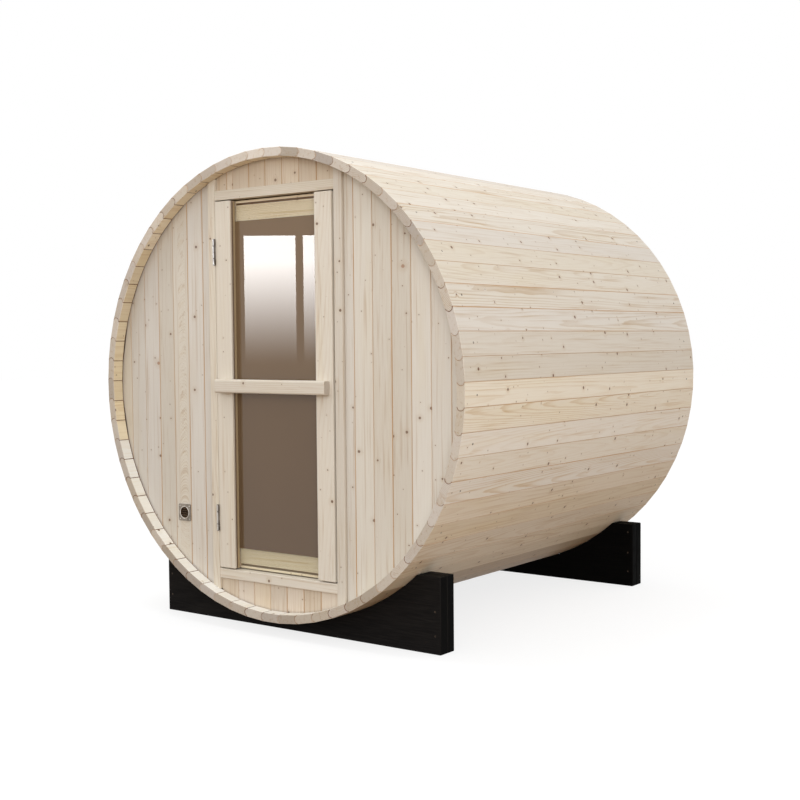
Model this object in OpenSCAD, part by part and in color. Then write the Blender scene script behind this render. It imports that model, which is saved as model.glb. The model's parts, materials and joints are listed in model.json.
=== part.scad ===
// Barrel sauna cabin on two cradles: bead-and-cove staves, recessed end walls
// and a glazed door hung in a frame of jambs, head and sill.
// The front faces -Y, the barrel's axis runs along Y and Z is up.
// The origin lies on the ground, under the middle of the barrel.

/* [Barrel] */
// Outer radius of the barrel, to the corners of the staves
barrel_r = 950; // [900:5:1100]
// Length of the staves, from front to back
barrel_len = 1988; // [1400:1:2600]
// Thickness of a stave
stave_t = 36; // [30:1:45]
// Number of staves round the barrel
stave_count = 65; // [52:1:78]
// Angle of the first stave joint, anticlockwise from +X as seen from the front
first_joint_deg = 85; // [0:0.5:360]
// Height of the barrel's lowest point above the ground
barrel_lift = 60; // [40:1:120]

/* [Stave joint] */
// Width of the flat shoulder on each side of the bead
bead_shoulder = 3; // [2:0.5:6]
// Height of the bead above the flank of the stave
bead_h = 12; // [4:0.5:14]
// Gap between the flanks of neighbouring staves
stave_gap = 0.4; // [0.3:0.1:1]

/* [End walls] */
// Thickness of the end walls
wall_t = 40; // [30:1:50]
// Depth of the front wall behind the stave ends
front_recess = 56; // [50:1:120]
// Depth of the back wall behind the stave ends
back_recess = 56; // [20:1:120]
// Depth of the groove in the staves that holds the walls
croze_depth = 8; // [4:0.5:12]
// Width of a wall board
board_w = 90; // [70:1:140]
// Width of the V-groove between two boards
groove_w = 6; // [2:0.5:10]

/* [Door frame] */
// Clear width between the jambs
doorway_w = 636; // [560:1:720]
// Height of the wall boards over the head and under the sill, beside the jambs
over_door_h = 58; // [30:1:160]
// Width of a jamb, seen from the front
jamb_w = 40; // [30:1:60]
// Height of the head and of the sill, seen from the front
head_h = 40; // [25:1:50]
// How far the frame stands proud of the front wall
frame_proud = 12; // [4:1:20]

/* [Door] */
// Gap between the door and its frame, at the hinges, the head and the sill
door_gap = 5; // [5:0.5:8]
// Gap between the door and its frame on the opening side
latch_gap = 8; // [5:0.5:12]
// How far the door stands proud of its frame
door_proud = 4; // [0:1:12]
// Thickness of the door
door_t = 52; // [44:1:58]
// Width of a door stile
stile_w = 86; // [60:1:120]
// Height of a door rail
rail_h = 84; // [50:1:140]
// Width of the lip in front of the open groove along a stile's inner edge
stile_lip = 9; // [5:0.5:12]
// Height of the lip past the open groove along a rail's outer edge
rail_lip = 10; // [5:0.5:14]
// Width of those open grooves
edge_groove_w = 9; // [4:0.5:10]
// Depth of those open grooves
edge_groove_d = 7; // [3:0.5:8]
// Thickness of the glass
glass_t = 6; // [4:0.5:8]
// Depth of the glass behind the front of the stiles
glass_inset = 29; // [24:1:34]
// How far the glass is let into each stile
glass_bite = 11; // [6:1:20]
// Bare height of the rails past the ends of the glass
glass_margin = 22; // [10:1:40]

/* [Handle bar] */
// Length of the bar
bar_len = 590; // [480:1:600]
// Height of the bar
bar_h = 56; // [40:1:80]
// Depth of the bar
bar_d = 36; // [30:1:47]
// Rounding of the bar's long edges
bar_round = 8; // [2:0.5:10]

/* [Hinges] */
// Height of a hinge
hinge_h = 110; // [80:1:140]
// Distance of each hinge's middle from the nearer end of the door
hinge_set = 208; // [100:1:400]
// Outer radius of the knuckles
knuckle_r = 5.5; // [5:0.5:9]
// Radius of the hinge pin
pin_r = 3; // [2.5:0.5:4]
// Thickness of a hinge leaf
leaf_t = 1.8; // [1.2:0.1:2]
// Width of a hinge leaf, front to back
leaf_w = 25; // [18:1:30]

/* [Vent] */
// Side of the square vent plate
vent_side = 72; // [60:1:100]
// Thickness of the vent plate
vent_t = 3; // [2:0.5:5]
// Distance of the vent's middle from the edge of the front wall, along a radius
vent_rim_set = 155; // [80:1:200]
// Angle of that radius below the horizontal, on the left
vent_deg = 45.8; // [35:0.1:60]
// Radius of the vent's opening
vent_r = 24; // [15:0.5:25]
// Width of the raised ring round the opening
vent_ring_w = 5; // [3:0.5:6]
// Height of the raised ring above the plate
vent_ring_h = 4; // [2:0.5:6]
// Number of louvre blades
blade_count = 5; // [3:1:7]

/* [Cradles] */
// Length of a cradle, across the barrel
cradle_w = 1476; // [1300:1:1600]
// Height of a cradle at its ends
cradle_h = 298; // [240:1:340]
// Thickness of one cradle plank
plank_t = 46.5; // [36:0.5:60]
// Distance of the front cradle behind the front stave ends
front_cradle_set = 143; // [60:1:300]
// Distance of the back cradle from the back stave ends
back_cradle_set = 132; // [60:1:300]

/* [Hidden] */
$fn = 360;
// How far every cut runs past what it cuts
overrun = 10;
// Gap between wooden pieces that are fitted into each other
seat_gap = 0.3;
// Running clearance of the hinge pin, on its radius
pin_gap = 0.05;
// Clearance round and between the knuckles
knuckle_gap = 0.5;
// Thickness of a louvre blade and of the rim that holds the blades
blade_t = 1.5;
// Depth of the louvre insert
grille_d = 9;
// Tilt of the louvre blades
blade_tilt_deg = 35;
// Share of a hinge's height that its middle knuckle takes
mid_knuckle_share = 0.47;

// The barrel and its staves
axis_z = barrel_lift + barrel_r;
front_y = -barrel_len / 2;
back_y = barrel_len / 2;
pitch_deg = 360 / stave_count;
half_deg = pitch_deg / 2;
face_out = barrel_r * cos(half_deg);
face_in = face_out - stave_t;
joint_r = (face_out + face_in) / 2 / cos(half_deg);
bead_w = stave_t - 2 * bead_shoulder;
bead_r = (pow(bead_w / 2, 2) + pow(bead_h, 2)) / (2 * bead_h);
bead_set = bead_r - bead_h;
flank_trim = stave_gap / 2 / cos(half_deg);
group_count = 13;

// The end walls
front_wall_y = front_y + front_recess;
back_wall_y = back_y - back_recess - wall_t;
croze_r = face_in + croze_depth;
wall_r = croze_r - seat_gap;
board_joints = ceil(barrel_r / board_w);
groove_side = groove_w / sqrt(2);

// The door frame
frame_y = front_wall_y - frame_proud;
frame_d = frame_proud + wall_t;
frame_half_w = doorway_w / 2 + jamb_w;
wall_rise = sqrt(pow(wall_r, 2) - pow(doorway_w / 2, 2));
doorway_h = 2 * (wall_rise - over_door_h - head_h);
frame_end_r = face_in - seat_gap;

// The door
door_y = frame_y - door_proud;
door_w = doorway_w - door_gap - latch_gap;
door_h = doorway_h - 2 * door_gap;
door_left = -doorway_w / 2 + door_gap;
door_mid = door_left + door_w / 2;
sight_w = door_w - 2 * stile_w;
glass_y = door_y + glass_inset;
glass_w = sight_w + 2 * glass_bite - 2 * seat_gap;
glass_h = door_h - 2 * glass_margin;
rail_y = glass_y + glass_t + seat_gap;

// The hinges
hinge_offset = door_h / 2 - hinge_set;
pin_x = -doorway_w / 2 + door_gap / 2;
pin_y = door_y - knuckle_r - knuckle_gap;
leaf_y = door_y;
mid_knuckle_h = hinge_h * mid_knuckle_share;

// The vent
vent_left = (wall_r - vent_rim_set) * cos(vent_deg);
vent_down = (wall_r - vent_rim_set) * sin(vent_deg);
blade_pitch = 2 * vent_r / blade_count;
grille_r = vent_r - seat_gap;

// Extrudes an outline drawn in X and Z round the barrel's axis, from y to y + depth
module slice(y, depth) {
    translate([0, y + depth, axis_z]) rotate([90, 0, 0]) linear_extrude(depth) children();
}

// A box between two corners whose heights are measured from the barrel's axis
module block(low, high) {
    translate(low + [0, 0, axis_z]) cube(high - low);
}

// A rectangle with round corners, about its middle
module rounded_rect(w, h, r) {
    square([w - 2 * r, h], center = true);
    square([w, h - 2 * r], center = true);
    for (x = [-1, 1], y = [-1, 1])
        translate([x * (w / 2 - r), y * (h / 2 - r)]) circle(r);
}

// Cross-section of one stave, with its middle on +X: a wedge that has a bead on its
// clockwise flank and a cove for the neighbour's bead on the other flank
module stave_outline() {
    edge_out = face_out * tan(half_deg) - flank_trim;
    edge_in = face_in * tan(half_deg) - flank_trim;
    difference() {
        union() {
            polygon([[face_in, -edge_in], [face_out, -edge_out], [face_out, edge_out], [face_in, edge_in]]);
            rotate(-half_deg) translate([joint_r, bead_set]) circle(bead_r);
        }
        rotate(half_deg) translate([joint_r, bead_set]) circle(bead_r + stave_gap);
    }
}

// One stave, with the two grooves that hold the end walls
module stave(index) {
    difference() {
        slice(front_y, barrel_len) rotate(first_joint_deg - (index + 1 / 2) * pitch_deg) stave_outline();
        for (y = [front_wall_y, back_wall_y])
            slice(y - seat_gap, wall_t + 2 * seat_gap) circle(croze_r);
    }
}

// The staves of one group, counted clockwise from the first joint
module stave_group(group) {
    first = floor(group * stave_count / group_count);
    last = floor((group + 1) * stave_count / group_count) - 1;
    color("wheat") for (index = [first : last]) stave(index);
}

// V-grooves at the board joints between two places on X, cut into the face at y
module board_grooves(from, to, y) {
    for (i = [-board_joints : board_joints - 1]) {
        x = (i + 1 / 2) * board_w;
        if (x > from + groove_w && x < to - groove_w)
            translate([x, y, axis_z]) rotate(45) cube([groove_side, groove_side, 2 * barrel_r], center = true);
    }
}

// The part of an end wall between two places on X and two on Z
module wall_panel(y, face_y, low, high) {
    difference() {
        slice(y, wall_t) intersection() {
            circle(wall_r);
            translate(low) square(high - low);
        }
        board_grooves(low.x, high.x, face_y);
    }
}

module front_wall_left() {
    color("wheat") difference() {
        wall_panel(front_wall_y, front_wall_y, [-wall_r, -wall_r], [-frame_half_w, wall_r]);
        translate([-vent_left, 0, -vent_down]) slice(front_wall_y - overrun, wall_t + 2 * overrun) circle(vent_r);
    }
}

module front_wall_right() {
    color("wheat") wall_panel(front_wall_y, front_wall_y, [frame_half_w, -wall_r], [wall_r, wall_r]);
}

module front_wall_over_door() {
    low = [-doorway_w / 2, doorway_h / 2 + head_h];
    color("wheat") wall_panel(front_wall_y, front_wall_y, low, [doorway_w / 2, wall_r]);
}

module front_wall_under_door() {
    high = [doorway_w / 2, -doorway_h / 2 - head_h];
    color("wheat") wall_panel(front_wall_y, front_wall_y, [-doorway_w / 2, -wall_r], high);
}

module back_wall_left() {
    color("wheat") wall_panel(back_wall_y, back_wall_y + wall_t, [-wall_r, -wall_r], [board_w / 2, wall_r]);
}

module back_wall_right() {
    color("wheat") wall_panel(back_wall_y, back_wall_y + wall_t, [board_w / 2, -wall_r], [wall_r, wall_r]);
}

// A jamb from the staves below to the staves above, its ends cut to the barrel's inside
module door_jamb(x) {
    color("blanchedalmond") slice(frame_y, frame_d) intersection() {
        circle(frame_end_r);
        translate([x, -frame_end_r]) square([jamb_w, 2 * frame_end_r]);
    }
}

module door_jamb_left() {
    door_jamb(-frame_half_w);
}

module door_jamb_right() {
    door_jamb(doorway_w / 2);
}

module frame_crosspiece(z) {
    low = [-doorway_w / 2, frame_y, z];
    color("blanchedalmond") block(low, low + [doorway_w, frame_d, head_h]);
}

module door_head() {
    frame_crosspiece(doorway_h / 2);
}

module door_sill() {
    frame_crosspiece(-doorway_h / 2 - head_h);
}

// Carries what is drawn about the vent's middle to the front wall, with +Z pointing out of the wall
module at_vent() {
    translate([-vent_left, front_wall_y, axis_z - vent_down]) rotate([90, 0, 0]) children();
}

module vent_plate() {
    color("silver") at_vent() difference() {
        union() {
            linear_extrude(vent_t) square(vent_side, center = true);
            cylinder(r = vent_r + vent_ring_w, h = vent_t + vent_ring_h);
        }
        translate([0, 0, -overrun]) cylinder(r = vent_r, h = vent_t + vent_ring_h + 2 * overrun);
    }
}

// A rim in the vent's opening that holds a row of slanted blades
module vent_grille() {
    color("gray") at_vent() difference() {
        union() {
            difference() {
                cylinder(r = grille_r, h = grille_d, center = true);
                cylinder(r = grille_r - blade_t, h = grille_d + overrun, center = true);
            }
            intersection() {
                cylinder(r = grille_r - blade_t / 2, h = grille_d, center = true);
                for (i = [0 : blade_count - 1])
                    translate([0, (i + 1 / 2) * blade_pitch - vent_r, 0])
                        rotate([blade_tilt_deg, 0, 0])
                            cube([2 * vent_r, blade_t, 2 * grille_d], center = true);
            }
        }
    }
}

// Carries what is drawn about a hinge's middle to the pin line, at a height from the door's middle
module at_hinge(z) {
    translate([0, 0, z]) children();
}

// The leaf on the jamb, its two outer knuckles and the pin
module hinge_frame_leaf(z) {
    leaf_x = -doorway_w / 2;
    color("silver") at_hinge(z) {
        block([leaf_x, leaf_y, -hinge_h / 2], [leaf_x + leaf_t, leaf_y + leaf_w, hinge_h / 2]);
        for (span = [[-hinge_h / 2, -mid_knuckle_h / 2], [mid_knuckle_h / 2, hinge_h / 2]]) {
            translate([pin_x, pin_y, axis_z + span[0]]) cylinder(r = knuckle_r, h = span[1] - span[0]);
            block([leaf_x, pin_y, span[0]], [leaf_x + leaf_t, leaf_y, span[1]]);
        }
        translate([pin_x, pin_y, axis_z - hinge_h / 2]) cylinder(r = pin_r, h = hinge_h);
    }
}

// The leaf on the door and its middle knuckle, which turns on the pin
module hinge_door_leaf(z) {
    leaf_x = door_left - leaf_t;
    half = mid_knuckle_h / 2 - knuckle_gap;
    color("silver") at_hinge(z) difference() {
        union() {
            block([leaf_x, leaf_y, -hinge_h / 2], [leaf_x + leaf_t, leaf_y + leaf_w, hinge_h / 2]);
            block([leaf_x, pin_y, -half], [leaf_x + leaf_t, leaf_y, half]);
            translate([pin_x, pin_y, axis_z]) cylinder(r = knuckle_r, h = 2 * half, center = true);
        }
        translate([pin_x, pin_y, axis_z]) cylinder(r = pin_r + pin_gap, h = hinge_h, center = true);
    }
}

module upper_hinge_frame_leaf() {
    hinge_frame_leaf(hinge_offset);
}

module lower_hinge_frame_leaf() {
    hinge_frame_leaf(-hinge_offset);
}

module upper_hinge_door_leaf() {
    hinge_door_leaf(hinge_offset);
}

module lower_hinge_door_leaf() {
    hinge_door_leaf(-hinge_offset);
}

// One plank of a cradle, with a saddle cut to the outside of the barrel
module cradle_plank(y) {
    color([0.08, 0.08, 0.08]) difference() {
        slice(y, plank_t) translate([-cradle_w / 2, -axis_z]) square([cradle_w, cradle_h]);
        slice(y - overrun, plank_t + 2 * overrun) circle(barrel_r + seat_gap);
    }
}

module front_cradle_outer_plank() {
    cradle_plank(front_y + front_cradle_set);
}

module front_cradle_inner_plank() {
    cradle_plank(front_y + front_cradle_set + plank_t);
}

module back_cradle_inner_plank() {
    cradle_plank(back_y - back_cradle_set - 2 * plank_t);
}

module back_cradle_outer_plank() {
    cradle_plank(back_y - back_cradle_set - plank_t);
}

// Carries what is drawn about the door's middle line to its place between the jambs
module at_door() {
    translate([door_mid, 0, 0]) children();
}

// A cut along the inner edge of the left stile, between two places on Y
module stile_groove(from, to, depth) {
    low = [-sight_w / 2 - depth, from, -door_h / 2 - overrun];
    block(low, [-sight_w / 2 + overrun, to, door_h / 2 + overrun]);
}

// A full-height stile on the left, with an open groove and one for the glass along its inner edge
module door_stile() {
    color("blanchedalmond") difference() {
        block([-door_w / 2, door_y, -door_h / 2], [-sight_w / 2, door_y + door_t, door_h / 2]);
        stile_groove(door_y + stile_lip, door_y + stile_lip + edge_groove_w, edge_groove_d);
        stile_groove(glass_y - seat_gap, glass_y + glass_t + seat_gap, glass_bite);
    }
}

module door_stile_left() {
    at_door() door_stile();
}

module door_stile_right() {
    at_door() mirror([1, 0, 0]) door_stile();
}

// The rail at the top of the door, between the stiles and behind the glass,
// with an open groove along its outer edge
module door_rail() {
    groove_top = door_h / 2 - rail_lip;
    groove_low = [-sight_w / 2 - overrun, rail_y - overrun, groove_top - edge_groove_w];
    color("khaki") difference() {
        block([-sight_w / 2, rail_y, door_h / 2 - rail_h], [sight_w / 2, door_y + door_t, door_h / 2]);
        block(groove_low, [sight_w / 2 + overrun, rail_y + edge_groove_d, groove_top]);
    }
}

module door_rail_top() {
    at_door() door_rail();
}

module door_rail_bottom() {
    at_door() translate([0, 0, 2 * axis_z]) mirror([0, 0, 1]) door_rail();
}

module door_glass() {
    half = [glass_w / 2, 0, glass_h / 2];
    color([0.42, 0.35, 0.29, 0.6])
        at_door() block([0, glass_y, 0] - half, [0, glass_y + glass_t, 0] + half);
}

// A round-edged bar across both stiles
module handle_bar() {
    color("blanchedalmond") at_door()
        translate([-bar_len / 2, door_y - bar_d / 2, axis_z]) rotate([90, 0, 90])
            linear_extrude(bar_len) rounded_rect(bar_d, bar_h, bar_round);
}

stave_group(0);  // staves_01
stave_group(1);  // staves_02
stave_group(2);  // staves_03
stave_group(3);  // staves_04
stave_group(4);  // staves_05
stave_group(5);  // staves_06
stave_group(6);  // staves_07
stave_group(7);  // staves_08
stave_group(8);  // staves_09
stave_group(9);  // staves_10
stave_group(10);  // staves_11
stave_group(11);  // staves_12
stave_group(12);  // staves_13
front_wall_left();
front_wall_right();
front_wall_over_door();
front_wall_under_door();
back_wall_left();
back_wall_right();
door_jamb_left();
door_jamb_right();
door_head();
door_sill();
vent_plate();
vent_grille();
upper_hinge_frame_leaf();
lower_hinge_frame_leaf();
front_cradle_outer_plank();
front_cradle_inner_plank();
back_cradle_inner_plank();
back_cradle_outer_plank();
door_stile_left();
door_stile_right();
door_rail_top();
door_rail_bottom();
door_glass();
handle_bar();
upper_hinge_door_leaf();
lower_hinge_door_leaf();
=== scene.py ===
"""Looks of a barrel sauna: staves, wall boards, glazed door, metal fittings and black cradles.

Lengths are in metres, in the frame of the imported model: the front faces -Y, the barrel's
axis runs along Y and Z is up. Boards are drawn in board coordinates, with X along the
grain, Y across it and Z out of the face.
"""

import json
import math
import random

import bpy
from mathutils import Matrix, Vector

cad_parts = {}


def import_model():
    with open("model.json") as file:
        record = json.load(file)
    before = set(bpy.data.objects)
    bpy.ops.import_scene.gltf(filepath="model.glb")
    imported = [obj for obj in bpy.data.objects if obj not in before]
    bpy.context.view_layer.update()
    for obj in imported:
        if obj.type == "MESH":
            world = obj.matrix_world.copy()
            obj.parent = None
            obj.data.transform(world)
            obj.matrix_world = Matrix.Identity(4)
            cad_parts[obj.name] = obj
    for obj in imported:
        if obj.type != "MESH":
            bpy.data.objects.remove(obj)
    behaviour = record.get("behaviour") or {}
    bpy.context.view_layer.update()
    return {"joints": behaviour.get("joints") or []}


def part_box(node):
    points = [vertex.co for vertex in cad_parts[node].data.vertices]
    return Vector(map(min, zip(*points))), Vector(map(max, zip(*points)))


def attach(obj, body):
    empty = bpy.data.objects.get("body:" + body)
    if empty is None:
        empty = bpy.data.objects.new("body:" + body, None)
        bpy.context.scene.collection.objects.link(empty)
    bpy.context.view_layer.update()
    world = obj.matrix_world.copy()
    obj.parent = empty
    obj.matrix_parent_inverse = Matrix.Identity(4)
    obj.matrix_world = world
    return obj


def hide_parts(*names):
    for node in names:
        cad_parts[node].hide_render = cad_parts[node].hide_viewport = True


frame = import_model()

# World directions
RIGHT = Vector((1, 0, 0))
BACK = Vector((0, 1, 0))
UP = Vector((0, 0, 1))
FRONT = -BACK

# Clearance where one piece seats in another
SEAT_GAP = 0.0003

# The barrel
BARREL_R = 0.950
STAVE_T = 0.036
STAVE_COUNT = 65
STAVE_GROUPS = 13
FIRST_JOINT = math.radians(85)
BEAD_SHOULDER = 0.003
BEAD_H = 0.012
STAVE_GAP = 0.0004
STAVE_EASE = 0.0015
STAVE_END_EASE = 0.0012
STAVE_END_PLAY = 0.0010
STAVE_FACE_PLAY = 0.0004
BEAD_STEPS = 10
FRONT_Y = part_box("staves_01")[0].y
BACK_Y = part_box("staves_01")[1].y
AXIS_Z = sum(corner.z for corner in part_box("handle_bar")) / 2
AXIS = Vector((0, 0, AXIS_Z))
HALF_PITCH = math.pi / STAVE_COUNT
FACE_OUT = BARREL_R * math.cos(HALF_PITCH)
FACE_IN = FACE_OUT - STAVE_T
FACE_MID = (FACE_OUT + FACE_IN) / 2

# The end walls
BOARD_W = 0.090
BOARD_EASE = 0.0023
BOARD_GAP = 0.0002
BOARD_BACK_EASE = 0.0005
BOARD_MIN_W = 0.012
BOARD_FACE_PLAY = 0.0005
END_STEP = 0.010
CROZE_DEPTH = 0.008
SLOT_W = 0.0060
SLOT_DEPTH = 0.0030
WALL_SEAT = 0.005
WALL_R = FACE_IN + WALL_SEAT
NARROW_STRIP_X = -0.258

# The door and its frame
FRAME_EASE = 0.0020
DOOR_EASE = 0.0022
BAR_ROUND = 0.008
BAR_STEPS = 5
RAIL_ROUND = 0.0020
RAIL_ROUNDS = (RAIL_ROUND, RAIL_ROUND, RAIL_ROUND, RAIL_ROUND / 2, 0.0, 0.0, RAIL_ROUND / 2, RAIL_ROUND)
GLASS_BITE = 0.011
GLASS_EASE = 0.0008
STILE_LIP = 0.009
RAIL_LIP = 0.010
EDGE_GROOVE_W = 0.009
EDGE_GROOVE_D = 0.007

# Screws. The outline of a head is in (radius, height) pairs, as shares of its radius
SCREW_R = 0.0042
SMALL_SCREW_R = 0.0030
SCREW_PROUD = 0.0002
SCREW_STEPS = 12
SCREW_HEAD_SHARES = ((0.0, -0.30), (0.42, -0.05), (0.80, 0.0), (1.0, -0.12), (0.5, -0.9), (0.0, -0.9))
STAVE_SCREW_SET = 0.080
STAVE_SCREW_ASIDE = 0.004
STAVE_SCREW_ALONG = 0.003

# The vent
VENT_HOLE_R = (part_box("vent_grille")[1].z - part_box("vent_grille")[0].z) / 2 + SEAT_GAP
VENT_BORE_REACH = 0.1
VENT_CORNER_R = 0.006
VENT_CORNER_STEPS = 4
VENT_SIDE_STEPS = 10
VENT_PLATE_T = 0.003
VENT_SCREW_INSET = 0.008
VENT_RING_W = 0.0034
VENT_RING_EASE = 0.0012
VENT_RING_SHARE = 0.75
VENT_RING_SHOULDER_SHARES = (0.7, 0.8)
LOUVRES = 5
LOUVRE_T = 0.0015
LOUVRE_EASE = 0.0006
LOUVRE_SHARE = 0.9
LOUVRE_TILT = math.radians(35)
ROUND_STEPS = 48

# The hinges
KNUCKLE_STEPS = 32
KNUCKLE_EASE_SHARE = 0.34
KNUCKLE_LIT_SHARE = 0.66
KNUCKLE_GAP = 0.0005
MID_KNUCKLE_SHARE = 0.47
PIN_SHARE = 0.5
PIN_GAP = 0.0003
LEAF_T = 0.0018
LEAF_EASE = 0.0004

# The cradles
CRADLE_EASE = 0.0035
CRADLE_SCREW_X = 0.713
FRONT_SCREW_HEIGHTS = (0.071, 0.164)
BACK_SCREW_HEIGHTS = (0.071, 0.161, 0.260)
SADDLE_STEPS = 40

# From a plank that is drawn across its grain to the coordinates of the grain
ACROSS_TO_GRAIN = Matrix(((0, 1, 0, 0), (0, 0, 1, 0), (1, 0, 0, 0), (0, 0, 0, 1)))

# The photograph's camera
LENS_MM = 56.900
SENSOR_MM = 36.0
CAMERA_PLACE = Vector((3.4316, -4.7354, 1.1959))
CAMERA_YAW = math.radians(36.5066)
CAMERA_DOWN = math.radians(2.7448)
CAMERA_ROLL = math.radians(-0.4979)


def linear(red, green, blue):
    """A colour written in display values from 0 to 255, as the linear colour that nodes take."""
    def channel(value):
        value /= 255
        return value / 12.92 if value <= 0.04045 else ((value + 0.055) / 1.055) ** 2.4
    return (channel(red), channel(green), channel(blue), 1.0)


# Mesh building


def frame_of(x, z, origin=Vector((0, 0, 0))):
    """The matrix that places a board with its grain along x and its face looking along z."""
    y = z.cross(x)
    turn = Matrix((x, y, z)).transposed().to_4x4()
    return Matrix.Translation(origin) @ turn


UPRIGHT = frame_of(UP, FRONT)
LEVEL = frame_of(RIGHT, FRONT)

# Marks of how a side is finished: rounded edges painted lighter (wear and a painted highlight), joint lines
# and grooves painted darker (painted shade). Those in COATS are flat and take another of the piece's
# materials.
FLAT, RUBBED_AND_HIGHLIT, SEAM, SHADED_JOINT, SHADED_GROOVE, INSIDE, OUTSIDE = 0.0, 1.0, -1.0, -2.0, -3.0, 2.0, 3.0
COATS = {INSIDE: 1, OUTSIDE: 2}
ROOM_COAT = 3
SHARP_EDGE = math.radians(32)
INSET_LIMIT = 0.35


def round_corners(points, radius, steps=2, corner_mark=RUBBED_AND_HIGHLIT, side_marks=None):
    """A closed outline of (y, z, mark) points with round corners.

    Radius and corner mark are one value, or one for each corner. A mark tells how the side that
    starts at its point is finished.
    """
    outline = []
    count = len(points)
    for i, point in enumerate(points):
        r = radius[i] if hasattr(radius, "__len__") else radius
        turn = corner_mark[i] if hasattr(corner_mark, "__len__") else corner_mark
        here = Vector(point)
        before = (Vector(points[i - 1]) - here).normalized()
        after = (Vector(points[(i + 1) % count]) - here).normalized()
        side = side_marks[i] if side_marks else FLAT
        if r <= 0:
            outline.append((here.x, here.y, side))
            continue
        start, end = here + before * r, here + after * r
        for k in range(steps + 1):
            t = k / steps
            p = start.lerp(here, t).lerp(here.lerp(end, t), t)
            outline.append((p.x, p.y, turn if k < steps else side))
    return outline


def spread(outline, step):
    """The outline with its long sides divided, so that a slanted or round end can follow them."""
    result = []
    for i, (y, z, mark) in enumerate(outline):
        y2, z2, _ = outline[(i + 1) % len(outline)]
        parts = max(1, math.ceil(math.hypot(y2 - y, z2 - z) / step))
        for k in range(parts):
            t = k / parts
            result.append((y + (y2 - y) * t, z + (z2 - z) * t, mark))
    return result


def inset(outline, distance):
    """The outline moved inwards by a small distance, point by point."""
    count = len(outline)
    area = sum(outline[i - 1][0] * outline[i][1] - outline[i][0] * outline[i - 1][1] for i in range(count))
    side = 1 if area > 0 else -1
    moved = []
    for i, (y, z, _) in enumerate(outline):
        here = Vector((y, z))
        before = (here - Vector(outline[i - 1][:2])).normalized()
        after = (Vector(outline[(i + 1) % count][:2]) - here).normalized()
        normal = Vector((-before.y - after.y, before.x + after.x)) * side
        stretch = max(normal.length_squared / 2, INSET_LIMIT)
        moved.append(here + normal * (distance / stretch))
    return moved


class Board:
    """One solid in board coordinates, with marks for its end grain and its rounded edges."""

    def __init__(self):
        self.verts = []
        self.faces = []
        self.end = []
        self.edge = []
        self.smooth = []
        self.coat = []

    def face(self, corners, end=0.0, mark=FLAT, smooth=False):
        self.faces.append(corners)
        self.end.append(end)
        self.edge.append(FLAT if mark in COATS else mark)
        self.smooth.append(smooth)
        self.coat.append(COATS.get(mark, 0))


def prism_rings(outline, low, high, ease, levels):
    """The rings of a prism in order: points, place along X, shift, and whether the ring lies in a groove."""
    full = [Vector(p[:2]) for p in outline]
    under = min(p.y for p in full)
    section, sunk = full, []
    for place, depth in levels:
        cut = [Vector((p.x, max(p.y, under + depth))) for p in full] if depth else full
        sunk += [(ring, place, 0.0, ring is not full) for ring in (section, cut)]
        section = cut
    if not ease:
        return [(full, low, 0.0, False), *sunk, (full, high, 0.0, False)]
    small = inset(outline, ease)
    return [(small, low, 0.0, False), (full, low, ease, False), *sunk,
            (full, high, -ease, False), (small, high, 0.0, False)]


def prism(outline, low, high, ease=0.0, rungs=False, levels=()):
    """An outline drawn out along X.

    Low and high are lengths, or functions of y, and ease rounds the ends. Levels are (place, depth)
    pairs along X: from each place on, the underside is cut away to its depth.
    """
    board = Board()
    count = len(outline)
    rings = prism_rings(outline, low, high, ease, levels)
    for points, end, shift, _ in rings:
        board.verts += [Vector(((end(p.x) if callable(end) else end) + shift, p.x, p.y)) for p in points]
    last = len(rings) - 1
    for ring in range(last):
        at_end = ease and ring in (0, last - 1)
        in_groove = rings[ring][3] or rings[ring + 1][3]
        a, b = ring * count, (ring + 1) * count
        for i in range(count):
            j = (i + 1) % count
            mark = outline[i][2]
            # At the eased ends, seams and grooves take the painted shade of a joint line; other edges are
            # painted lighter
            if at_end:
                mark = SHADED_JOINT if mark in (SEAM, SHADED_GROOVE) else RUBBED_AND_HIGHLIT
            # Inside faces within a cut are painted as shaded grooves: painted shade
            elif in_groove and mark == INSIDE:
                mark = SHADED_GROOVE
            soft = mark != FLAT and mark not in COATS and not in_groove
            board.face((a + i, a + j, b + j, b + i), mark=mark, smooth=soft)
    for first, flip in ((0, True), (last * count, False)):
        for cap in caps(count, rungs):
            corners = tuple(first + i for i in cap)
            board.face(corners[::-1] if flip else corners, end=1.0)
    return board


def caps(count, rungs):
    """The faces that close an outline: one face, or rungs across it between opposite points."""
    if not rungs:
        return [tuple(range(count))]
    return [(k, k + 1, count - 2 - k, count - 1 - k) for k in range(count // 2 - 1)]


def lathe(profile, steps=ROUND_STEPS):
    """A closed profile of (radius, height) points turned round Z. Points on the axis close the ends."""
    board = Board()
    rows = []
    for radius, height in profile:
        if radius <= 0:
            board.verts.append(Vector((0, 0, height)))
            rows.append([len(board.verts) - 1] * steps)
            continue
        first = len(board.verts)
        for k in range(steps):
            angle = 2 * math.pi * k / steps
            board.verts.append(Vector((radius * math.cos(angle), radius * math.sin(angle), height)))
        rows.append(list(range(first, first + steps)))
    closed = all(radius > 0 for radius, _ in profile)
    pairs = list(zip(rows, rows[1:])) + ([(rows[-1], rows[0])] if closed else [])
    for lower, upper in pairs:
        for k in range(steps):
            n = (k + 1) % steps
            corners = [lower[k], lower[n], upper[n], upper[k]]
            face = [c for i, c in enumerate(corners) if c != corners[i - 1]]
            if len(set(face)) > 2:
                board.face(tuple(dict.fromkeys(face)), smooth=True)
    return board


# Where a board lies in its log, drawn for each board
LOG_LENGTH = 40
PITH_ASIDE = 0.035
PITH_DEPTHS = (0.03, 0.10)
GRAIN_SLOPE = 0.035


def new_object(name, data):
    """An object of the scene."""
    made = bpy.data.objects.new(name, data)
    bpy.context.scene.collection.objects.link(made)
    return made


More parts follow.
